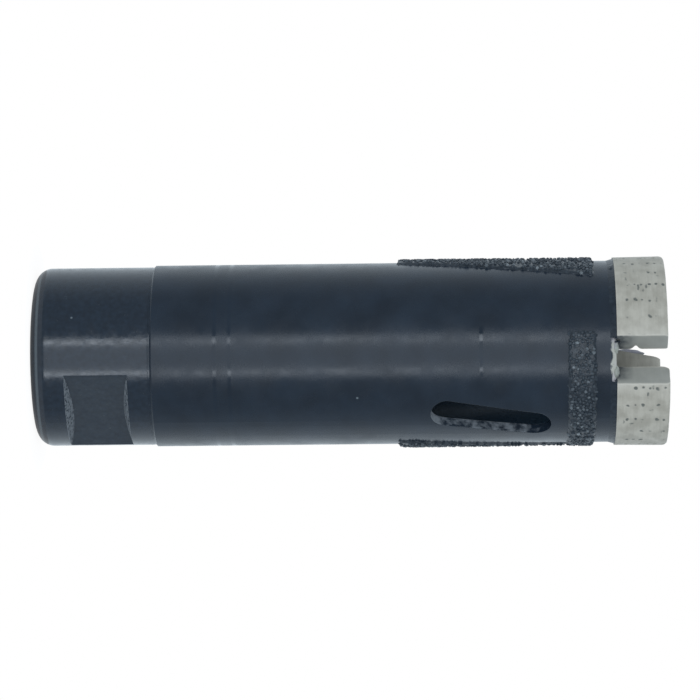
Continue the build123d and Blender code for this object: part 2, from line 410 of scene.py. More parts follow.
def grindRim(tree, patterns, smear, colour):  # bright in the two gaps, up to a ragged edge of paint
    tear = addNode(tree, "ShaderNodeTexNoise", {
        "Vector": patterns["place"], "Scale": 1 / (barrelCoat["tearSize"] * mm),
        "Detail": 4.0, "Roughness": 0.65,
    })
    ragged = addNode(tree, "ShaderNodeMath", {0: tear, 1: barrelCoat["tearSize"] * mm, 2: patterns["height"]},
                     operation="MULTIPLY_ADD")
    edge = rimHeight - barrelCoat["paintEdge"]
    onRim = addNode(tree, "ShaderNodeMapRange", {0: ragged, 1: edge * mm, 2: (edge + 0.3) * mm})
    inGap = nearBearing(tree, patterns, layout["gapBearing"], *barrelCoat["gapSpread"], True)
    ground = addNode(tree, "ShaderNodeMath", {0: onRim, 1: inGap}, operation="MULTIPLY")
    tinge = addNode(tree, "ShaderNodeMapRange", {0: smear, 1: 0.42, 2: 0.58})
    bright = addNode(tree, "ShaderNodeMix", {
        "Factor": tinge, "A": toLinear(barrelCoat["groundSteel"]), "B": toLinear(barrelCoat["groundTinge"]),
    }, data_type="RGBA")
    colour = addNode(tree, "ShaderNodeMix", {"Factor": ground, "A": colour, "B": bright}, data_type="RGBA")
    return colour, ground


def raiseMarks(tree, patterns, height, gloss):  # two press rings and a short tick, raised and burnished
    half = barrelCoat["ringWidth"] / 2
    marks = []
    for centre in barrelCoat["rings"]:
        ring = between(tree, patterns["height"], centre - half, centre + half, 0.5)
        marks.append((ring, barrelCoat["ringRise"], -0.13))
    nearTick = nearBearing(tree, patterns, barrelCoat["tickBearing"], *barrelCoat["tickSpread"], False)
    low = barrelCoat["tickHeight"]
    tick = between(tree, patterns["height"], low, low + barrelCoat["tickWidth"], 0.4)
    tick = addNode(tree, "ShaderNodeMath", {0: tick, 1: nearTick}, operation="MULTIPLY")
    marks.append((tick, barrelCoat["tickRise"], -0.2))
    for mark, rise, shine in marks:
        height = addNode(tree, "ShaderNodeMath", {0: mark, 1: rise, 2: height}, operation="MULTIPLY_ADD")
        gloss = addNode(tree, "ShaderNodeMath", {0: mark, 1: shine, 2: gloss}, operation="MULTIPLY_ADD")
    gloss = addNode(tree, "ShaderNodeMath", {0: gloss, 1: 0.06}, operation="MAXIMUM")
    return height, gloss


def makeBarrelEnamel():
    # Thinner coat over drawn tube: softer reflections, scuffed walls in the slots with a painted
    # glint on their rear end walls, press rings near the shoulder and a rim ground bright in the gaps, with a
    # ragged edge of paint
    material, tree = startMaterial("Enamel over drawn steel tube")
    patterns = placePatterns(tree)
    place = patterns["place"]
    colour = enamelColour(tree, place, barrelCoat["mottleSize"])
    smear = addNode(tree, "ShaderNodeTexNoise", {
        "Vector": place, "Scale": 1 / (barrelCoat["smearSize"] * mm), "Detail": 3.0, "Roughness": 0.6,
    })
    sharp, dull = barrelCoat["gloss"]
    gloss = addNode(tree, "ShaderNodeMapRange", {0: smear, 1: 0.3, 2: 0.7, 3: sharp, 4: dull})
    colour = wearSlots(tree, patterns, colour)
    colour, ground = grindRim(tree, patterns, smear, colour)
    waves = enamelWaves(tree, place, barrelCoat["peelDepth"], barrelCoat["turnDepth"])
    height, gloss = raiseMarks(tree, patterns, waves, gloss)
    roughness = addNode(tree, "ShaderNodeMath", {0: ground, 1: 0.3, 2: gloss}, operation="MULTIPLY_ADD")
    closeCoat(tree, colour, roughness, height, 0.5, barrelCoat["edgeRadius"])
    return material


# Enamel that ran into the groove between the adapter and the barrel, and set there in a fillet
shoulder = {
    "low": 21.55,
    "high": 22.35,
    "innerRadius": 16.15,
    "outerRadius": 16.47,
    "waviness": 0.05,
    "waveSize": 2.0,
    "seed": 50,
}


def fillShoulder(material):
    around = np.linspace(0, 2 * math.pi, 361)[:, None, None]
    side = np.array([0.0, 1.0])[None, :, None]
    along = np.linspace(0, 1, 5)[None, None, :]
    wave = lumpsAt(onRings(adapterRadius, around, 0 * around), shoulder["waveSize"], shoulder["seed"]) - 0.6
    outer = shoulder["outerRadius"] + shoulder["waviness"] * wave + 0.10 * np.abs(along - 0.4)
    radius = shoulder["innerRadius"] + (outer - shoulder["innerRadius"]) * side
    height = shoulder["low"] + (shoulder["high"] - shoulder["low"]) * along
    mesh = skinOfBlock("shoulder_paint", onRings(radius, around, height))
    return toObject("shoulder_paint", mesh, material, 50)


adapterEnamel = makeAdapterEnamel()
paintNode("adapter", adapterEnamel)
paintNode("barrel", makeBarrelEnamel())
shoulderPaint = fillShoulder(adapterEnamel)
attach(shoulderPaint, "root")
print("adapter and barrel painted")

# Segments: diamond and metal powder pressed hot in a die, then ground round and dressed at the
# ends. Rows of pits show where set stones were torn out.

segment = {
    "innerRadius": 13.4,
    "flare": 0.12,
    "outerWear": 0.55,
    "innerWears": (0.9, 0.3),
    "wearSlope": 30.0,
    "firstRows": (3.4, 12.3),
    "rowStep": 11.6,
    "pitsInRow": 6,
    "pitSpacing": 1.34,
    "firstPit": 2.0,
    "pitRadius": 0.4,
    "pitDepth": 0.13,
    "loosePits": 30,
    "edgeBand": 0.32,
    "edgeWear": 0.09,
    "chipRise": 3.5,
    "chipReach": 0.55,
    "chipDepths": (0.0, 1.0),
    "waveSize": 2.2,
    "waveDepth": 0.05,
    "nickSize": 0.9,
    "nickDepth": 0.3,
    "nickRows": 14,
    "cellsAround": 380,
    "cellsAcross": 12,
    "cellsAlong": 70,
    "seed": 41,
    "face": "#B1AB9E",
    "faceLight": "#C7C1B4",
    # pale edge tone: partly rubbed wear, partly a painted highlight
    "edge": "#D6D0C4",
    "endWall": "#9B9C97",
    "stain": "#54585A",
    # painted shade in the pits
    "pitShade": "#72746E",
    "grindingPitch": 0.45,  # real grinding lines are nearer 0.1, too fine to show
    "powderSize": 0.35,  # real powder grains are under 0.1, so they are drawn coarser as well
}


def wornEdge(height, tip, wear):  # how far the rounded tip edge falls back
    reach = wear / math.tan(math.radians(segment["wearSlope"]))
    along = np.clip((height - tip + reach) / reach, 0, 1)
    return wear * (1 - np.sqrt(1 - along ** 2))


def shapeSegment(number, lean):  # radii, bearings and heights of a block, and its points' ways to both gaps
    tip = tipHeights[number]
    around = np.linspace(0, 1, segment["cellsAround"] + 1)[:, None, None]
    across = np.linspace(0, 1, segment["cellsAcross"] + 1)[None, :, None]
    along = 1 - (1 - np.linspace(0, 1, segment["cellsAlong"] + 1)[None, None, :]) ** 1.15
    height = footHeight + (tip - footHeight) * along
    outer = cuttingRadius - segment["flare"] * (1 - along) - wornEdge(height, tip, segment["outerWear"])
    inner = segment["innerRadius"] + wornEdge(height, tip, segment["innerWears"][number])
    # One inner corner at a gap is chipped
    chip = ((height - footHeight - segment["chipRise"]) / segment["chipReach"]) ** 2
    chip = segment["chipDepths"][number] * np.exp(-chip - ((1 - around) * 40 / 1.2) ** 2)
    radius = inner + chip + (outer - inner - chip) * across
    slant = (height - footHeight - layout["gapLeanHeight"]) * math.tan(math.radians(lean))
    start = gapEdge(radius)
    end = math.pi - gapEdge(radius, slant)
    firstGap = math.radians(layout["gapBearing"]) + math.pi * number
    bearing = firstGap + start + (end - start) * around
    fromStart = (bearing - firstGap - start) * radius
    fromEnd = (end + firstGap - bearing) * radius
    return radius, bearing, height + 0 * radius, fromStart, fromEnd


def pitField(bearing, height, torn, number, chance):  # depth of the pits over the outer face
    low = footHeight
    high = tipHeights[number] - 0.6
    spots = []
    row = bearing.min() + math.radians(segment["firstRows"][number])
    while row < bearing.max():
        for place in range(segment["pitsInRow"]):
            if chance.random() < 0.78:
                along = low + segment["firstPit"] + (place + chance.normal() * 0.07) * segment["pitSpacing"]
                spots.append((row + chance.normal() * 0.006, along, 0.55 + 0.6 * chance.random(), 1.0, 1.0))
        row += math.radians(segment["rowStep"])
    for _ in range(segment["loosePits"]):
        spot = (chance.uniform(bearing.min(), bearing.max()), chance.uniform(low + 0.4, high - 0.6))
        stretch = (2.6, 1.0) if chance.random() < 0.25 else (1.0, 3.6)
        spots.append((*spot, 0.25 + 0.45 * chance.random() ** 2, *stretch))
    depth = np.zeros(bearing.shape)
    for place, along, size, longer, wider in spots:
        across = (bearing - place) * cuttingRadius / (segment["pitRadius"] * size * wider)
        away = across ** 2 + ((height - along) / (segment["pitRadius"] * size * longer)) ** 2 + torn
        depth = np.maximum(depth, size * np.clip(1 - away, 0, 1) ** 1.5)
    return depth


def makeSegment(name, number, lean, stains):
    chance = np.random.default_rng(segment["seed"] + number)
    radius, bearing, height, fromStart, fromEnd = shapeSegment(number, lean)
    points = onRings(radius, bearing, height)
    fromWall = np.minimum(fromStart, fromEnd)
    beside = fromWall[:, -1]
    # Wear along the edges of the end walls, in ragged nicks; their paler colour is partly rubbed wear and
    # partly a painted highlight
    rough = lumpsAt(points[:, -1], 0.7, number)
    band = np.maximum(segment["edgeBand"] * (1 + 0.9 * rough), 0.05)
    wornAndGlint = np.clip(1.2 - beside / band, 0, 1)
    radius[:, -1] -= segment["edgeWear"] * wornAndGlint ** 2
    # A broad pale band beside each end wall: partly rubbed wear, partly a painted highlight
    rubbedAndLit = 0.45 * np.clip(1.3 - beside / 2.0, 0, 1) * (1 + 0.5 * rough)
    edge = np.zeros(radius.shape)
    edge[:, -1] = np.maximum(wornAndGlint, rubbedAndLit)
    # Pits in the outer face
    torn = 0.9 * lumpsAt(points[:, -1], 0.45, number + 12)
    pits = np.zeros(radius.shape)
    pits[:, -1] = pitField(bearing[:, -1], height[:, -1], torn, number, chance) * np.clip(beside / 0.6, 0, 1)
    radius[:, -1] -= segment["pitDepth"] * pits[:, -1]
    # The tip is worn into shallow waves, and its outer edge is nicked
    waves = lumpsAt(points[:, :, -1], segment["waveSize"], number + 4)
    height[:, :, -1] -= segment["waveDepth"] * (1 + waves)
    rows = segment["nickRows"]
    nicks = np.clip(lumpsAt(points[:, -1, -rows:], segment["nickSize"], number + 8) - 0.25, 0, 1)
    radius[:, -1, -rows:] -= segment["nickDepth"] * nicks * np.linspace(0, 1, rows)
    # Flux and paint burnt into the foot of the end walls
    stain = np.zeros(radius.shape)
    for fromThis, (rise, spread) in zip((fromStart, fromEnd), stains):
        share = np.clip(1.3 - (height - footHeight) / rise, 0, 1) * np.clip((spread - radius) / 0.6, 0, 1)
        stain = np.maximum(stain, share * (fromThis < 0.02))
    walls = (fromWall < 0.02).astype(float)
    walls[:, 0] = 0.1
    fields = {"pitShade": pits, "edge": edge, "stain": stain, "endWall": walls}
    return toObject(name, skinOfBlock(name, onRings(radius, bearing, height), fields), sintered, 38)


def makeSintered():
    # Pressed metal powder ground round: matt, finely granular grey with grinding lines round the
    # bit, paler along the end-wall edges, partly rubbed wear and partly a painted highlight, and darker in
    # the pits as painted shade
    material, tree = startMaterial("Sintered diamond and metal powder")
    place = addNode(tree, "ShaderNodeTexCoord", give="Object")
    drawn = addNode(tree, "ShaderNodeMapping", {"Vector": place, "Scale": (0.10, 0.10, 1.0)})
    lines = addNode(tree, "ShaderNodeTexNoise", {
        "Vector": drawn, "Scale": 1 / (segment["grindingPitch"] * mm), "Detail": 3.0, "Roughness": 0.6,
    })
    powder = addNode(tree, "ShaderNodeTexNoise", {
        "Vector": place, "Scale": 1 / (segment["powderSize"] * mm), "Detail": 3.0, "Roughness": 0.7,
    })
    cloud = addNode(tree, "ShaderNodeTexNoise", {"Vector": place, "Scale": 1 / (2.4 * mm), "Detail": 4.0})
    tone = addNode(tree, "ShaderNodeMath", {0: lines, 1: 0.4, 2: cloud}, operation="MULTIPLY_ADD")
    share = addNode(tree, "ShaderNodeMapRange", {0: tone, 1: 0.55, 2: 0.85})
    colour = addNode(tree, "ShaderNodeMix", {
        "Factor": share, "A": toLinear(segment["face"]), "B": toLinear(segment["faceLight"]),
    }, data_type="RGBA")
    smear = addNode(tree, "ShaderNodeTexNoise", {
        "Vector": place, "Scale": 1 / (1.2 * mm), "Detail": 3.0, "Roughness": 0.6,
    })
    specks = addNode(tree, "ShaderNodeMapRange", {0: powder, 1: 0.66, 2: 0.74, 3: 0.0, 4: 0.6})
    layers = [(specks, segment["endWall"])]
    for field, strength in (("endWall", 0.7), ("edge", 0.9), ("stain", 1.7)):
        mask = addNode(tree, "ShaderNodeAttribute", give="Fac", attribute_name=field)
        mask = addNode(tree, "ShaderNodeMath", {0: mask, 1: strength}, operation="MULTIPLY")
        if field == "stain":
            mask = addNode(tree, "ShaderNodeMath", {0: smear, 1: mask}, operation="MULTIPLY", use_clamp=True)
        layers.append((mask, segment[field]))
    # Painted shade: the pits are darkened in colour
    pitShadeMask = addNode(tree, "ShaderNodeAttribute", give="Fac", attribute_name="pitShade")
    pitShadeMask = addNode(tree, "ShaderNodeMapRange", {0: pitShadeMask, 1: 0.05, 2: 0.65})
    colour = coverWith(tree, colour, [*layers, (pitShadeMask, segment["pitShade"])])
    fine = addNode(tree, "ShaderNodeMath", {0: lines, 1: 0.02}, operation="MULTIPLY")
    height = addNode(tree, "ShaderNodeMath", {0: powder, 1: 0.03, 2: fine}, operation="MULTIPLY_ADD")
    closeCoat(tree, colour, 0.52, height, 0.75)
    return material


# For each segment: the lean of its end wall in degrees, and how high and how far out the burnt
# stain reaches on its start wall and on its end wall
segmentWalls = {
    "segment_1": (layout["gapLean"], ((2.4, 16.6), (1.2, 18.5))),
    "segment_2": (0.0, ((1.6, 18.5), (3.0, 18.5))),
}
sintered = makeSintered()
for number, (name, (lean, stains)) in enumerate(segmentWalls.items()):
    piece = makeSegment("sintered_" + name, number, lean, stains)
    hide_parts(name)
    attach(piece, "root")
print("segments made")

# Braze: silver solder that flowed into the corners under the segments and was painted over, so
# it is a lumpy dark seam. In one corner of a gap it stayed bare.

braze = {
    "painted": ("#212B36", "#2C3844"),
    "bare": ("#ABA8B4", "#A9ABA3"),
    "lumpSize": 2.2,
    "rippleSize": 0.5,
    "cellsAround": 300,
    "cellsAlong": 9,
}

# Seams: radius of the surface they lie on, radius they are buried to, reach along the segment,
# leg down the barrel, and 1 on an outer side or -1 on an inner side
seams = {
    "outer_seam": (barrelRadius, 16.2, 0.42, 1.2, 1),
    "inner_seam": (layout["boreRadius"], 15.4, 1.15, 1.4, -1),
}

# Drops: radius, degrees from a gap, height, half sizes outward, sideways and up, seed and finish
drops = (
    (15.3, -11.4, footHeight, (1.5, 0.2, 0.7), 3, "painted"),
    (14.9, 11.0, footHeight, (1.0, 0.2, 0.6), 8, "painted"),
    (15.3, 180 + 12.2, footHeight, (1.4, 0.5, 1.4), 5, "painted"),
    (14.7, 180 - 8.2, footHeight + 2.0, (1.2, 1.0, 4.3), 12, "bare"),
    (15.6, -8.0, rimHeight - 0.05, (0.95, 1.2, 0.5), 15, "bare"),
    (15.6, 8.4, rimHeight - 0.05, (0.95, 1.1, 0.55), 19, "bare"),
    (16.75, -71, rimHeight - 0.25, (0.36, 1.5, 0.8), 23, "painted"),
    (16.75, 104, rimHeight - 0.25, (0.34, 1.2, 0.7), 27, "painted"),
)


def makePaintedBraze():
    # Solder under paint: dark, with the lumps catching the light and their crests painted a paler tone as a
    # painted highlight
    material, tree = startMaterial("Painted silver braze")
    place = addNode(tree, "ShaderNodeTexCoord", give="Object")
    colour, lumps = twoTone(tree, place, 0.8, 3.0, 0.6, (0.45, 0.75), braze["painted"])
    roughness = addNode(tree, "ShaderNodeMapRange", {0: lumps, 1: 0.3, 2: 0.7, 3: 0.25, 4: 0.45})
    height = addNode(tree, "ShaderNodeMath", {0: lumps, 1: 0.05}, operation="MULTIPLY")
    closeCoat(tree, colour, roughness, height, 0.5)
    return material


def makeBareBraze():
    # Solder as it set: pale silver with a satin skin and a warmer tarnish in patches
    material, tree = startMaterial("Bare silver braze")
    place = addNode(tree, "ShaderNodeTexCoord", give="Object")
    skin = addNode(tree, "ShaderNodeTexNoise", {"Vector": place, "Scale": 1 / (0.6 * mm), "Detail": 2.0})
    height = addNode(tree, "ShaderNodeMath", {0: skin, 1: 0.04}, operation="MULTIPLY")
    colour = twoTone(tree, place, 3.0, 2.0, 0.5, (0.42, 0.58), braze["bare"])[0]
    closeCoat(tree, colour, 0.5, height, 0.5)
    return material


def makeSeam(name, number, surface, hidden, reach, leg, outward):  # a lumpy fillet from barrel to segment
    around = np.linspace(0, 1, braze["cellsAround"])[:, None, None]
    side = np.array([0.0, 1.0])[None, :, None]
    along = np.linspace(0, 1, braze["cellsAlong"])[None, None, :]
    start = gapEdge(surface) - 0.012
    firstGap = math.radians(layout["gapBearing"]) + math.pi * number
    bearing = firstGap + start + (math.pi - 2 * start) * around
    ring = onRings(surface, bearing, 0 * bearing)
    lumps = lumpsAt(ring, braze["lumpSize"], number + 20)
    ripple = lumpsAt(ring, braze["rippleSize"], number + 24)
    taper = np.clip(np.minimum(around, 1 - around) * 50 / 3.0, 0, 1) ** 0.5
    low = rimHeight - leg * taper * (1 + 0.35 * lumps + 0.12 * ripple)
    height = low + (footHeight + 0.05 - low) * along
    swell = reach * taper * (0.9 + 0.15 * lumps + 0.03 * ripple) * along ** 1.5 - 0.03
    radius = hidden + side * (surface + outward * swell - hidden)
    return toObject(name, skinOfBlock(name, onRings(radius, bearing, height)), finishes["painted"], 60)


def makeDrop(name, radius, fromGap, height, sizes, seed, finish):  # set solder in a corner of a gap
    shape = bmesh.new()
    bmesh.ops.create_icosphere(shape, subdivisions=4, radius=1.0)
    turn = math.radians(layout["gapBearing"] + fromGap)
    outward = Vector((math.cos(turn), math.sin(turn), 0))
    aside = Vector((-math.sin(turn), math.cos(turn), 0))
    centre = Vector(onRing(radius, turn, height))
    for vertex in shape.verts:
        swell = 1 + 0.28 * noise.noise(vertex.co * 1.7 + Vector((seed, seed * 2, 0)))
        local = vertex.co * swell * mm
        vertex.co = centre + outward * local.x * sizes[0] + aside * local.y * sizes[1]
        vertex.co.z += local.z * sizes[2]
    mesh = bpy.data.meshes.new(name)
    shape.to_mesh(mesh)
    shape.free()
    return toObject(name, mesh, finishes[finish], 60)


finishes = {"painted": makePaintedBraze(), "bare": makeBareBraze()}
for name in ("braze_joint_1", "braze_joint_2"):
    paintNode(name, finishes["painted"])
solder = [makeSeam(f"{name}_{half + 1}", half, *sizes) for name, sizes in seams.items() for half in (0, 1)]
solder += [makeDrop(f"solder_drop_{number}", *drop) for number, drop in enumerate(drops, 1)]
for piece in solder:
    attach(piece, "root")
print("braze made")

# Side guards: diamond grit brazed in a vacuum to an L of nickel braze. Each grain stands out of
# the dark braze as an angular stone, so the L glitters and has a ragged outline.

guard = {
    "stripBearing": 52.25,
    "stripTilt": 10.4,
    "stripWidth": 8.3,
    "stripRear": 67.1,
    "bandRear": 98.2,
    "bandFront": 103.1,
    "bandReach": 121.5,
    "cell": 0.27,
    "arcs": (-34.0, 9.0),  # stretch of the unrolled barrel that the sheet of cells covers
    "heights": (66.2, 104.0),
    "lumpSizes": (1.0, 0.45, 0.85),
    "lumpSeeds": (30, 33, 36),
    "bedRise": 0.46,
    "clumpHeight": 0.17,
    "grainSpacing": 0.6,
    "grainRadius": 0.39,
    "grainScales": (0.62, 1.2),
    "grainDensity": 6e7,  # most grains in a square metre
    "outerRadius": 17.54,
    "seed": 7,
    "bed": ("#262E37", "#3D4650"),
    "grainDark": "#36404A",
    "grainPale": "#838B91",
}


def guardCover(arc, height):  # millimetres inside the L's outline, on the unrolled barrel
    middle = (guard["stripRear"] + guard["bandFront"]) / 2
    slope = math.tan(math.radians(guard["stripTilt"]))
    aside = np.abs(arc - slope * (height - middle)) - guard["stripWidth"] / 2
    strip = np.maximum(aside, np.maximum(guard["stripRear"] - height, height - guard["bandFront"]))
    line = slope * ((guard["bandRear"] + guard["bandFront"]) / 2 - middle)
    far = line - math.radians(guard["bandReach"]) * barrelRadius
    band = np.maximum(np.maximum(far - arc, arc - line),
                      np.maximum(guard["bandRear"] - height, height - guard["bandFront"]))
    return -np.minimum(strip, band)


def closeSheet(cells, count):  # a sheet's cells, the cells of its copy below and walls between them
    edges = {}
    for cell in cells.tolist():
        for first, second in zip(cell, cell[1:] + cell[:1]):
            if edges.pop((second, first), None) is None:
                edges[(first, second)] = True
    walls = [(second, first, first + count, second + count) for first, second in edges]
    return np.concatenate((cells, cells[:, ::-1] + count, np.array(walls)))


def makeBed(name, half):
    arcs, heights = (np.arange(*guard[ends], guard["cell"]) for ends in ("arcs", "heights"))
    arc, height = np.meshgrid(arcs, heights, indexing="ij")
    flat = np.stack((arc, height, 0 * arc + 30.0 * half), axis=-1)
    lumps, fine, clumps = (lumpsAt(flat, *kind) for kind in zip(guard["lumpSizes"], guard["lumpSeeds"]))
    cover = guardCover(arc, height) + 0.30 * lumps + 0.22 * fine - 0.1
    share = np.clip((cover + 0.25) / 0.5, 0, 1)
    share = share * share * (3 - 2 * share)
    top = barrelRadius - 0.06 + (guard["bedRise"] + guard["clumpHeight"] * clumps + 0.05 * fine) * share
    bearing = math.radians(guard["stripBearing"]) + arc / barrelRadius + math.pi * half
    index = np.arange(arc.size).reshape(arc.shape)
    quads = closeSheet(cellCorners(index)[cellCorners(share).max(axis=-1) > 0], arc.size)
    # Stones grow where the bed is whole, and crowd on its clumps
    grown = np.clip((cover - 0.02) * 3, 0, 1) * np.clip(0.8 + 1.1 * clumps, 0.25, 1)
    points = np.stack((onRings(top, bearing, height), onRings(barrelRadius - 0.3, bearing, height)))
    mesh = skinOfPoints(name, points, quads, {"cover": np.stack((grown, 0 * grown))})
    return toObject(name, mesh, brazedGrit, 60)


def growGrains(material, sizes):  # tree that strews stones over a bed
    tree, sockets, given = startTree("Strew grains", "Bed", sizes, "Grains")
    cover = addNode(tree, "GeometryNodeInputNamedAttribute", {"Name": "cover"}, data_type="FLOAT")
    strewn = addNode(tree, "GeometryNodeDistributePointsOnFaces", {
        "Mesh": given["Bed"], "Distance Min": given["Spacing"],
        "Density Max": guard["grainDensity"], "Density Factor": cover, "Seed": guard["seed"],
    }, distribute_method="POISSON")
    stone = addNode(tree, "GeometryNodeMeshIcoSphere", {
        "Radius": given["Grain radius"], "Subdivisions": 1,
    })
    small, large = guard["grainScales"]
    turn = addNode(tree, "FunctionNodeRandomValue", {0: (0, 0, 0), 1: (6.28, 6.28, 6.28), "Seed": 11},
                   data_type="FLOAT_VECTOR")
    size = addNode(tree, "FunctionNodeRandomValue", {0: (small,) * 3, 1: (large,) * 3, "Seed": 12},
                   data_type="FLOAT_VECTOR")
    stones = addNode(tree, "GeometryNodeInstanceOnPoints", {
        "Points": strewn, "Instance": stone, "Rotation": turn, "Scale": size,
    })
    shade = addNode(tree, "FunctionNodeRandomValue", {2: 0.0, 3: 1.0, "Seed": 13}, data_type="FLOAT")
    stones = addNode(tree, "GeometryNodeStoreNamedAttribute", {
        "Geometry": stones, "Name": "shade", "Value": shade,
    }, data_type="FLOAT", domain="INSTANCE")
    real = addNode(tree, "GeometryNodeRealizeInstances", {"Geometry": stones})
    # A stone that would stand too far out is cut off flush
    place = addNode(tree, "GeometryNodeInputPosition")
    limit = addNode(tree, "ShaderNodeMath", {0: given["Outer radius"], 1: fromAxis(tree, place)},
                    operation="DIVIDE")
    limit = addNode(tree, "ShaderNodeMath", {0: limit, 1: 1.0}, operation="MINIMUM")
    pull = addNode(tree, "ShaderNodeCombineXYZ", {"X": limit, "Y": limit, "Z": 1.0})
    place = addNode(tree, "ShaderNodeVectorMath", {0: place, 1: pull}, operation="MULTIPLY")
    real = addNode(tree, "GeometryNodeSetPosition", {"Geometry": real, "Position": place})
    flat = addNode(tree, "GeometryNodeSetShadeSmooth", {"Geometry": real, "Shade Smooth": False})
    done = addNode(tree, "GeometryNodeSetMaterial", {"Geometry": flat, "Material": material})
    addNode(tree, "NodeGroupOutput", {"Grains": done})
    return tree, sockets


def makeBrazedGrit():
    # Nickel braze that wetted the grains: near black, satin and lumpy
    material, tree = startMaterial("Vacuum-brazed nickel bed")
    place = addNode(tree, "ShaderNodeTexCoord", give="Object")
    colour, lumps = twoTone(tree, place, 0.5, 2.0, 0.6, (0.4, 0.7), guard["bed"])
    height = addNode(tree, "ShaderNodeMath", {0: lumps, 1: 0.12}, operation="MULTIPLY")
    closeCoat(tree, colour, 0.3, height, 0.6)
    return material


def makeGrainStone():
    # Diamond grains under a thin dark skin: most are dull, some faces are clean and flash
    material, tree = startMaterial("Diamond grains in a dark skin")
    shade = addNode(tree, "ShaderNodeAttribute", give="Fac", attribute_name="shade")
    share = addNode(tree, "ShaderNodeMath", {0: shade, 1: 5.0}, operation="POWER")
    colour = addNode(tree, "ShaderNodeMix", {
        "Factor": share, "A": toLinear(guard["grainDark"]), "B": toLinear(guard["grainPale"]),
    }, data_type="RGBA")
    roughness = addNode(tree, "ShaderNodeMapRange", {0: shade, 1: 0.0, 2: 1.0, 3: 0.52, 4: 0.35})
    shader = addNode(tree, "ShaderNodeBsdfPrincipled", {
        "Base Color": colour, "Roughness": roughness, "IOR": 1.6,
    })
    addNode(tree, "ShaderNodeOutputMaterial", {"Surface": shader})
    return material


grainSizes = {
    "Spacing": guard["grainSpacing"] * mm,
    "Grain radius": guard["grainRadius"] * mm,
    "Outer radius": guard["outerRadius"] * mm,
}
brazedGrit = makeBrazedGrit()
grainStone = makeGrainStone()
grainTree, grainSockets = growGrains(grainStone, grainSizes)
for number in (1, 2):
    bed = makeBed(f"grit_bed_{number}", number - 1)
    grains = bakeTree(f"grit_grains_{number}", bed, grainTree, grainSockets, grainSizes, grainStone)
    for piece in (bed, grains):
        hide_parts(f"side_guard_{number}")
        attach(piece, "root")
    print(f"side guard {number}:", len(grains.data.polygons), "grain faces")

# Spindle thread: ridges cut into the adapter's bore, bright at the crests and darker towards the roots

thread = {
    "rootRadius": 7.04,
    "crestRadius": 5.95,
    "pitch": 2.0,
    "start": 1.2,
    "end": 26.6,
    "crestWidth": 0.3,
    "rootWidth": 1.7,
    "steel": "#5B6067",
}


def windThread(material, sizes):  # tree that sweeps a ridge along a helix
    tree, sockets, given = startTree("Wind thread", "Base", sizes, "Ridge")
    helix = addNode(tree, "GeometryNodeCurveSpiral", {
        "Resolution": 48, "Rotations": given["Turns"], "Start Radius": given["Radius"],
        "End Radius": given["Radius"], "Height": given["Rise"], "Reverse": True,
    })
    upright = addNode(tree, "GeometryNodeSetCurveNormal", {"Curve": helix}, mode="Z_UP")
    ridge = addNode(tree, "GeometryNodeCurvePrimitiveQuadrilateral", {
        "Bottom Width": given["Root width"], "Top Width": given["Crest width"],
        "Height": given["Depth"], "Offset": 0.0,
    }, mode="TRAPEZOID")
    ridge = addNode(tree, "GeometryNodeTransform", {"Geometry": ridge, "Rotation": (0, 0, math.pi / 2)})
    swept = addNode(tree, "GeometryNodeCurveToMesh", {
        "Curve": upright, "Profile Curve": ridge, "Fill Caps": True,
    })
    lift = addNode(tree, "ShaderNodeCombineXYZ", {"Z": given["Start"]})
    lifted = addNode(tree, "GeometryNodeTransform", {"Geometry": swept, "Translation": lift})
    real = addNode(tree, "GeometryNodeRealizeInstances", {"Geometry": lifted})
    done = addNode(tree, "GeometryNodeSetMaterial", {"Geometry": real, "Material": material})
    addNode(tree, "NodeGroupOutput", {"Ridge": done})
    return tree, sockets


def makeThreadSteel():
    # Cut steel with a film of oil: dark grey metal, brighter on the crests
    material, tree = startMaterial("Cut steel with a film of oil")
    place = addNode(tree, "ShaderNodeTexCoord", give="Object")
    share = addNode(tree, "ShaderNodeMapRange", {
        0: fromAxis(tree, place), 1: thread["crestRadius"] * mm, 2: thread["rootRadius"] * mm, 3: 0.0, 4: 0.7,
    })
    colour = addNode(tree, "ShaderNodeMix", {
        "Factor": share, "A": toLinear(thread["steel"]), "B": toLinear(enamel["paint"][0]),
    }, data_type="RGBA")
    shader = addNode(tree, "ShaderNodeBsdfPrincipled", {
        "Base Color": colour, "Metallic": 0.8, "Roughness": 0.35,
    })
    addNode(tree, "ShaderNodeOutputMaterial", {"Surface": shader})
    return material


def makeThread():
    steel = makeThreadSteel()
    start = thread["start"] + thread["rootWidth"] / 2
    rise = thread["end"] - thread["rootWidth"] / 2 - start
    sizes = {
        "Turns": rise / thread["pitch"],
        "Radius": (thread["rootRadius"] + thread["crestRadius"]) / 2 * mm,
        "Rise": rise * mm,
        "Start": start * mm,
        "Depth": (thread["rootRadius"] - thread["crestRadius"]) * mm,
        "Root width": thread["rootWidth"] * mm,
        "Crest width": thread["crestWidth"] * mm,
    }
    tree, sockets = windThread(steel, sizes)
    base = bpy.data.objects.new("thread_base", bpy.data.meshes.new("thread_base"))
    bpy.context.scene.collection.objects.link(base)
    ridge = bakeTree("spindle_thread", base, tree, sockets, sizes, steel)
    bpy.data.objects.remove(base)
    turnOutward(ridge.data)
    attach(ridge, "root")


makeThread()
print("thread cut")

# Stage: a small pale floor, a white surround, two strip lamps with a soft panel between them

stage = {
    "cameraBearing": -46.7,
    "floorRadius": 21,
    "floorDrop": 0.05,
    "floor": "#F2F2F2",
    "floorGlow": 1.15,
    "floorGlowShare": 0.8,
    "worldLevel": 0.62,
    "roomLevel": 0.27,
    "backdropBearing": 131.0,
    "roomTint": "#E9F6FF",
    "lampTint": "#EDF6FF",
}

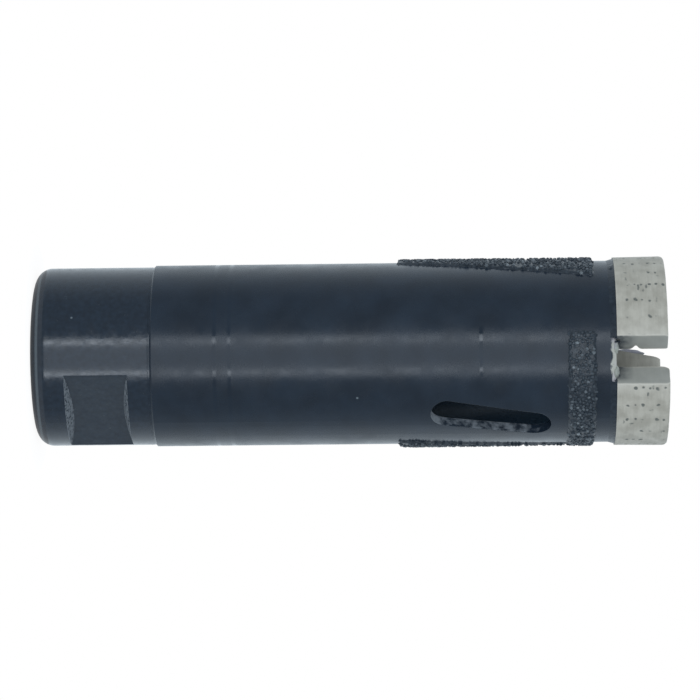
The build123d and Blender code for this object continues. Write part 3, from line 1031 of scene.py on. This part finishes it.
# Lamps: degrees round the bit from the camera, then distance, width, height and glow
lamps = {
    "upperStrip": (19.0, 1200, 150, 900, 3.1),
    "lowerStrip": (-22.5, 1200, 150, 900, 2.9),
    "softPanel": (-1.75, 1400, 1080, 1000, 0.82),
}


def sortRays(tree):  # what the camera sees, also through glass, and what a reflection sees
    rays = addNode(tree, "ShaderNodeLightPath", give="all")
    seen = addNode(tree, "ShaderNodeMath", {
        0: rays["Is Camera Ray"], 1: rays["Is Transmission Ray"],
    }, operation="ADD")
    return seen, rays["Is Glossy Ray"]


def makeFloor():
    mesh = bpy.data.meshes.new("floor")
    shape = bmesh.new()
    bmesh.ops.create_circle(shape, cap_ends=True, segments=96, radius=stage["floorRadius"] * mm)
    shape.to_mesh(mesh)
    shape.free()
    # Matt white board whose own colour is the background, so only the shadow shows on it
    material, tree = startMaterial("White studio board")
    seen, mirrored = sortRays(tree)
    seen = addNode(tree, "ShaderNodeMath", {0: mirrored, 1: stage["roomLevel"], 2: seen},
                   operation="MULTIPLY_ADD")
    matt = addNode(tree, "ShaderNodeBsdfDiffuse", {"Color": toLinear(stage["floor"])})
    glow = addNode(tree, "ShaderNodeEmission", {"Color": (1, 1, 1, 1), "Strength": stage["floorGlow"]})
    both = addNode(tree, "ShaderNodeMixShader", {0: stage["floorGlowShare"], 1: matt, 2: glow})
    shader = addNode(tree, "ShaderNodeMixShader", {0: seen, 1: matt, 2: both})
    # From below it lets the rear end and the thread show
    below = addNode(tree, "ShaderNodeNewGeometry", give="Backfacing")
    clear = addNode(tree, "ShaderNodeBsdfTransparent")
    shader = addNode(tree, "ShaderNodeMixShader", {0: below, 1: shader, 2: clear})
    addNode(tree, "ShaderNodeOutputMaterial", {"Surface": shader})
    floor = toObject("floor", mesh, material)
    floor.location.z = -stage["floorDrop"] * mm


def makeWorld():
    world = bpy.data.worlds.new("Studio surround")
    bpy.context.scene.world = world
    world.use_nodes = True
    tree = world.node_tree
    tree.nodes.clear()
    seen, mirrored = sortRays(tree)
    direction = addNode(tree, "ShaderNodeTexCoord", give="Generated")
    bearing = math.radians(stage["backdropBearing"])
    backdrop = (math.cos(bearing), math.sin(bearing), 0)
    behind = addNode(tree, "ShaderNodeVectorMath", {0: direction, 1: backdrop}, operation="DOT_PRODUCT")
    # Reflections find the white backdrop behind the bit and a dimmer room in front of it
    room = addNode(tree, "ShaderNodeMapRange", {
        0: behind, 1: -0.4, 2: 0.95, 3: stage["roomLevel"], 4: 1.0,
    }, interpolation_type="SMOOTHSTEP")
    level = addNode(tree, "ShaderNodeMix", {0: seen, 2: stage["worldLevel"], 3: 1.0}, data_type="FLOAT")
    strength = addNode(tree, "ShaderNodeMix", {0: mirrored, 2: level, 3: room}, data_type="FLOAT")
    tint = addNode(tree, "ShaderNodeMix", {
        "Factor": seen, "A": toLinear(stage["roomTint"]), "B": (1, 1, 1, 1),
    }, data_type="RGBA")
    background = addNode(tree, "ShaderNodeBackground", {"Color": tint, "Strength": strength})
    addNode(tree, "ShaderNodeOutputWorld", {"Surface": background})


def addLamp(name, angle, distance, width, height, glow):
    lamp = bpy.data.lights.new(name, "AREA")
    lamp.shape = "RECTANGLE"
    lamp.size = width * mm
    lamp.size_y = height * mm
    lamp.energy = glow * math.pi * width * height * mm * mm
    lamp.color = toLinear(stage["lampTint"])[:3]
    made = bpy.data.objects.new(name, lamp)
    bpy.context.scene.collection.objects.link(made)
    bearing = math.radians(stage["cameraBearing"] - angle)
    made.location = onRing(distance, bearing, tipHeights[0] / 2)
    outward = Vector((math.cos(bearing), math.sin(bearing), 0))
    made.rotation_euler = outward.to_track_quat("Z", "Y").to_euler()
    made.visible_camera = False


makeFloor()
makeWorld()
for name, sizes in lamps.items():
    addLamp(name, *sizes)
print("stage lit")

# Camera: a long lens level with the middle of the bit, rolled so that the bit lies across the frame

viewpoint = {
    "azimuth": 43.3,
    "distance": 670,
    "tilt": 1.45,
    "roll": 0.62,
    "targetHeight": 58.1,
    "targetSide": 0.74,
    "lens": 185.3,
}


def addCamera():
    camera = bpy.data.cameras.new("camera")
    camera.lens = viewpoint["lens"]
    camera.sensor_width = 36
    camera.clip_start = 0.01
    camera.clip_end = 20
    made = bpy.data.objects.new("camera", camera)
    bpy.context.scene.collection.objects.link(made)
    azimuth, tilt, roll = (math.radians(viewpoint[angle]) for angle in ("azimuth", "tilt", "roll"))
    level = Vector((math.sin(azimuth), -math.cos(azimuth), 0))
    side = Vector((-math.cos(azimuth), -math.sin(azimuth), 0))
    axis = Vector((0, 0, 1))
    back = level * math.cos(tilt) + axis * math.sin(tilt)
    along = axis * math.cos(tilt) - level * math.sin(tilt)
    right = along * math.cos(roll) - side * math.sin(roll)
    up = along * math.sin(roll) + side * math.cos(roll)
    target = axis * viewpoint["targetHeight"] * mm + side * viewpoint["targetSide"] * mm
    place = Matrix((right, up, back)).transposed().to_4x4()
    place.translation = target + back * viewpoint["distance"] * mm
    made.matrix_world = place
    bpy.context.scene.camera = made


addCamera()
bpy.context.scene.view_settings.view_transform = "Standard"
bpy.context.scene.render.use_compositing = False
